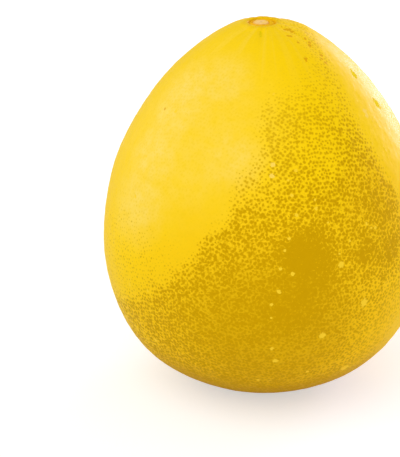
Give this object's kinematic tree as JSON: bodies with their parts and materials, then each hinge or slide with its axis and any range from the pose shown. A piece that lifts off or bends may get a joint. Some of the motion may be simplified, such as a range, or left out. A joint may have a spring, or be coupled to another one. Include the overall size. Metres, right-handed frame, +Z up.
{
  "type": "pomelo",
  "caption": "Whole pear-shaped yellow pomelo standing on its flattened blossom end, with a dry stem button set in its crown.",
  "frame": {"origin": "on the surface that the fruit stands on, under the middle of its outline", "axes": "+Z up along the core, from the blossom end to the stem end; -Y is the front, which a shallow crease below the stem button faces"},
  "size_m": [0.1498, 0.1498, 0.1723],
  "materials": {
    "rind": "waxy, satin, dimpled all over with oil glands",
    "stem": "dry, rough, cut across"
  },
  "bodies": {
    "root": {"fruit": "rind", "stem_button": "stem"}
  },
  "joints": []
}
